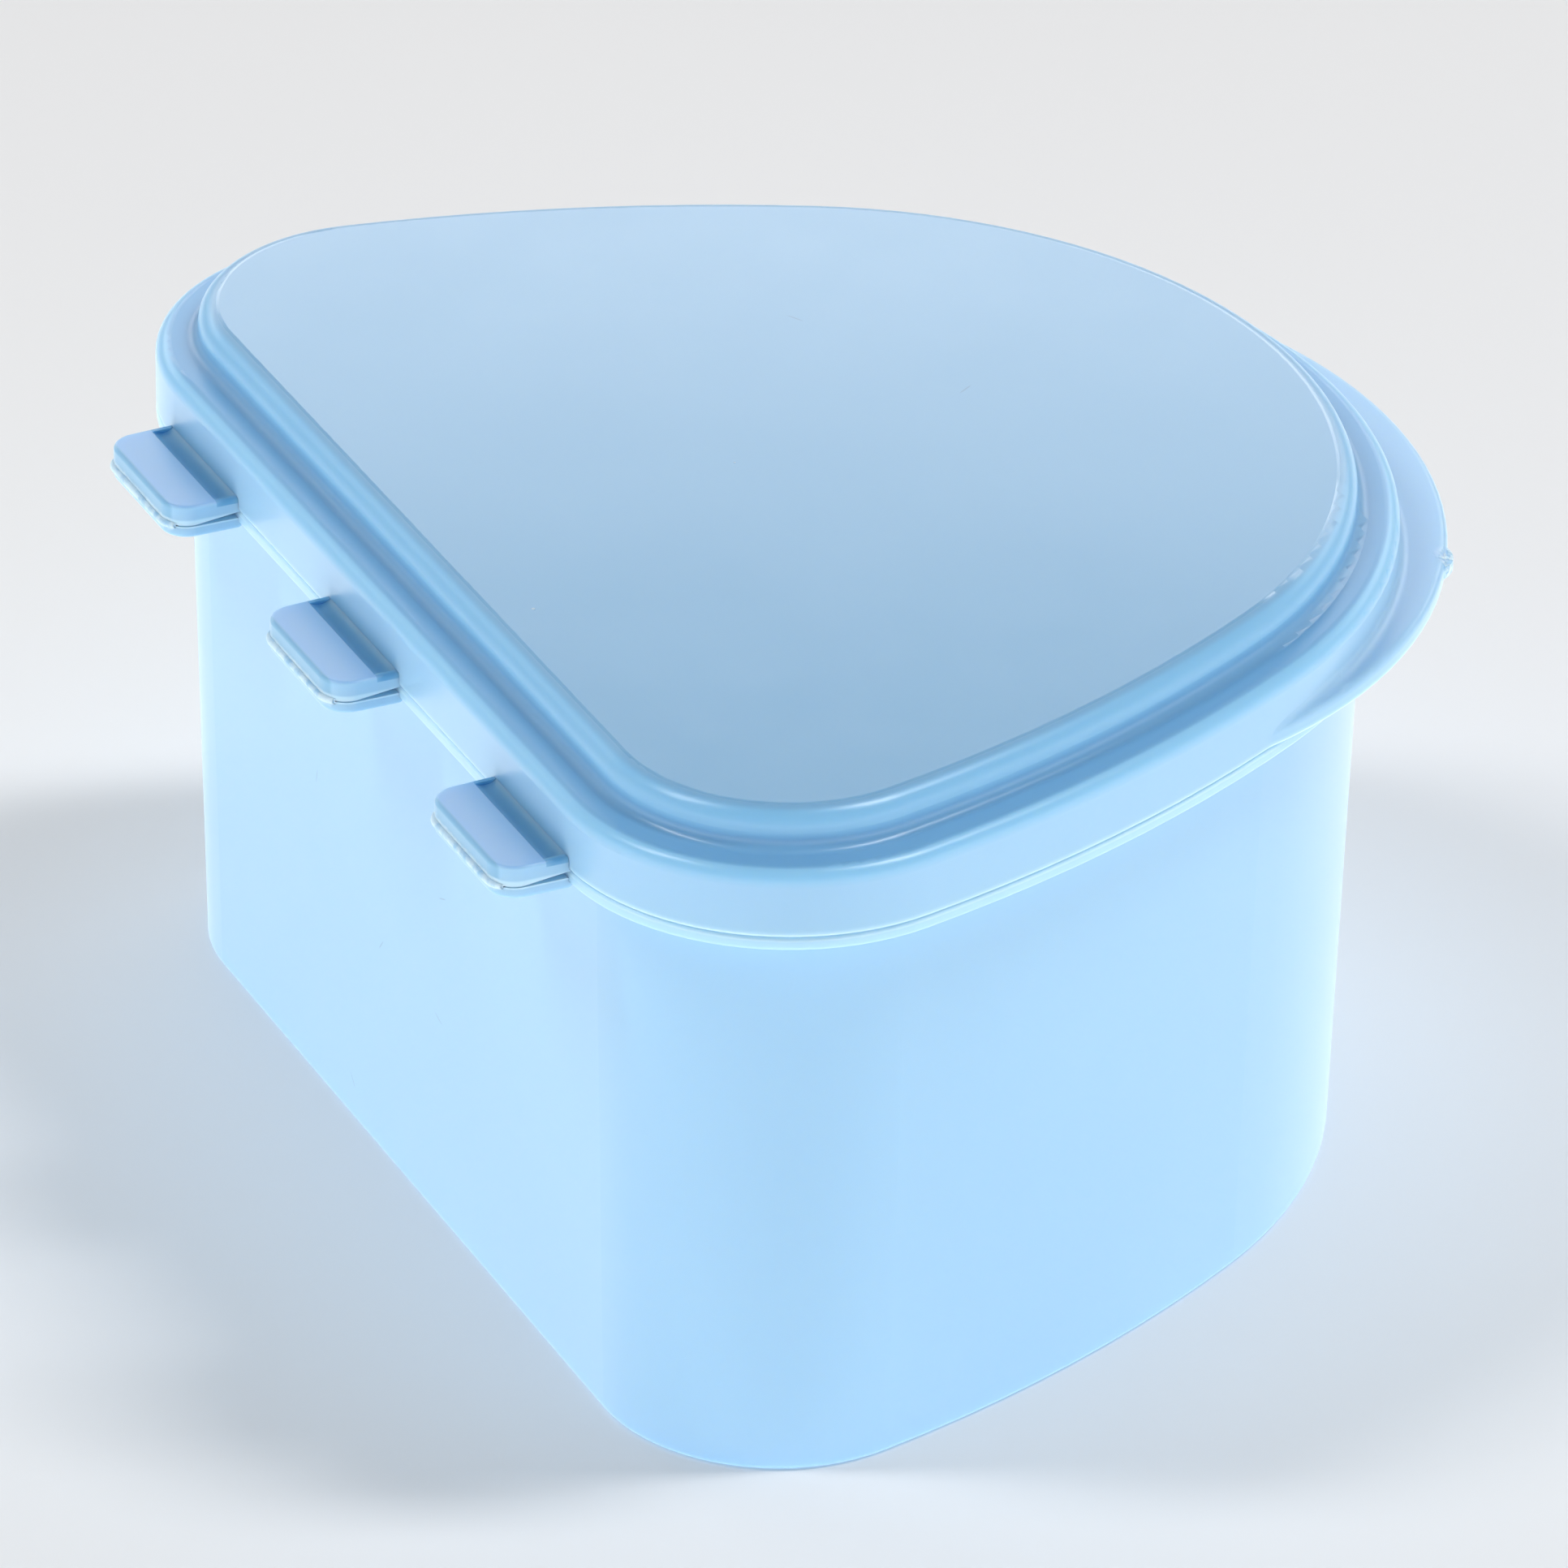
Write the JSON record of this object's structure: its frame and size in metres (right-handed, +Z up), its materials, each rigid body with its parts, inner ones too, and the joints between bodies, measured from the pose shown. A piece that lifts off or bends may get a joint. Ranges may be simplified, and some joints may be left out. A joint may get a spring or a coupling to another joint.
{
  "type": "denture case",
  "caption": "Light blue D-shaped moulded denture case with a raised lid, a crescent thumb lip and living hinges along its straight back.",
  "frame": {"origin": "middle of the case's overall length and width, on the surface it stands on", "axes": "+X along the hinge, +Y towards the hinge, -Y towards the thumb lip, +Z up"},
  "size_m": [0.09, 0.078, 0.0477],
  "materials": {
    "case_plastic": "satin light blue polypropylene",
    "hinge_film": "flexed polypropylene film, paler than the case"
  },
  "bodies": {
    "tub": {"tub": "case_plastic", "tub_leaf_left": "case_plastic", "tub_leaf_middle": "case_plastic", "tub_leaf_right": "case_plastic", "hinge_film_left": "hinge_film", "hinge_film_middle": "hinge_film", "hinge_film_right": "hinge_film"},
    "lid": {"lid": "case_plastic", "lid_leaf_left": "case_plastic", "lid_leaf_middle": "case_plastic", "lid_leaf_right": "case_plastic"}
  },
  "joints": [
    {"name": "lid_hinge", "type": "hinge", "parent": "tub", "child": "lid", "pos_m": [0, 0.03873, 0.04015], "axis": [-1, 0, 0], "range_deg": [0, 180], "deforming": ["hinge_film_left", "hinge_film_middle", "hinge_film_right"]}
  ]
}
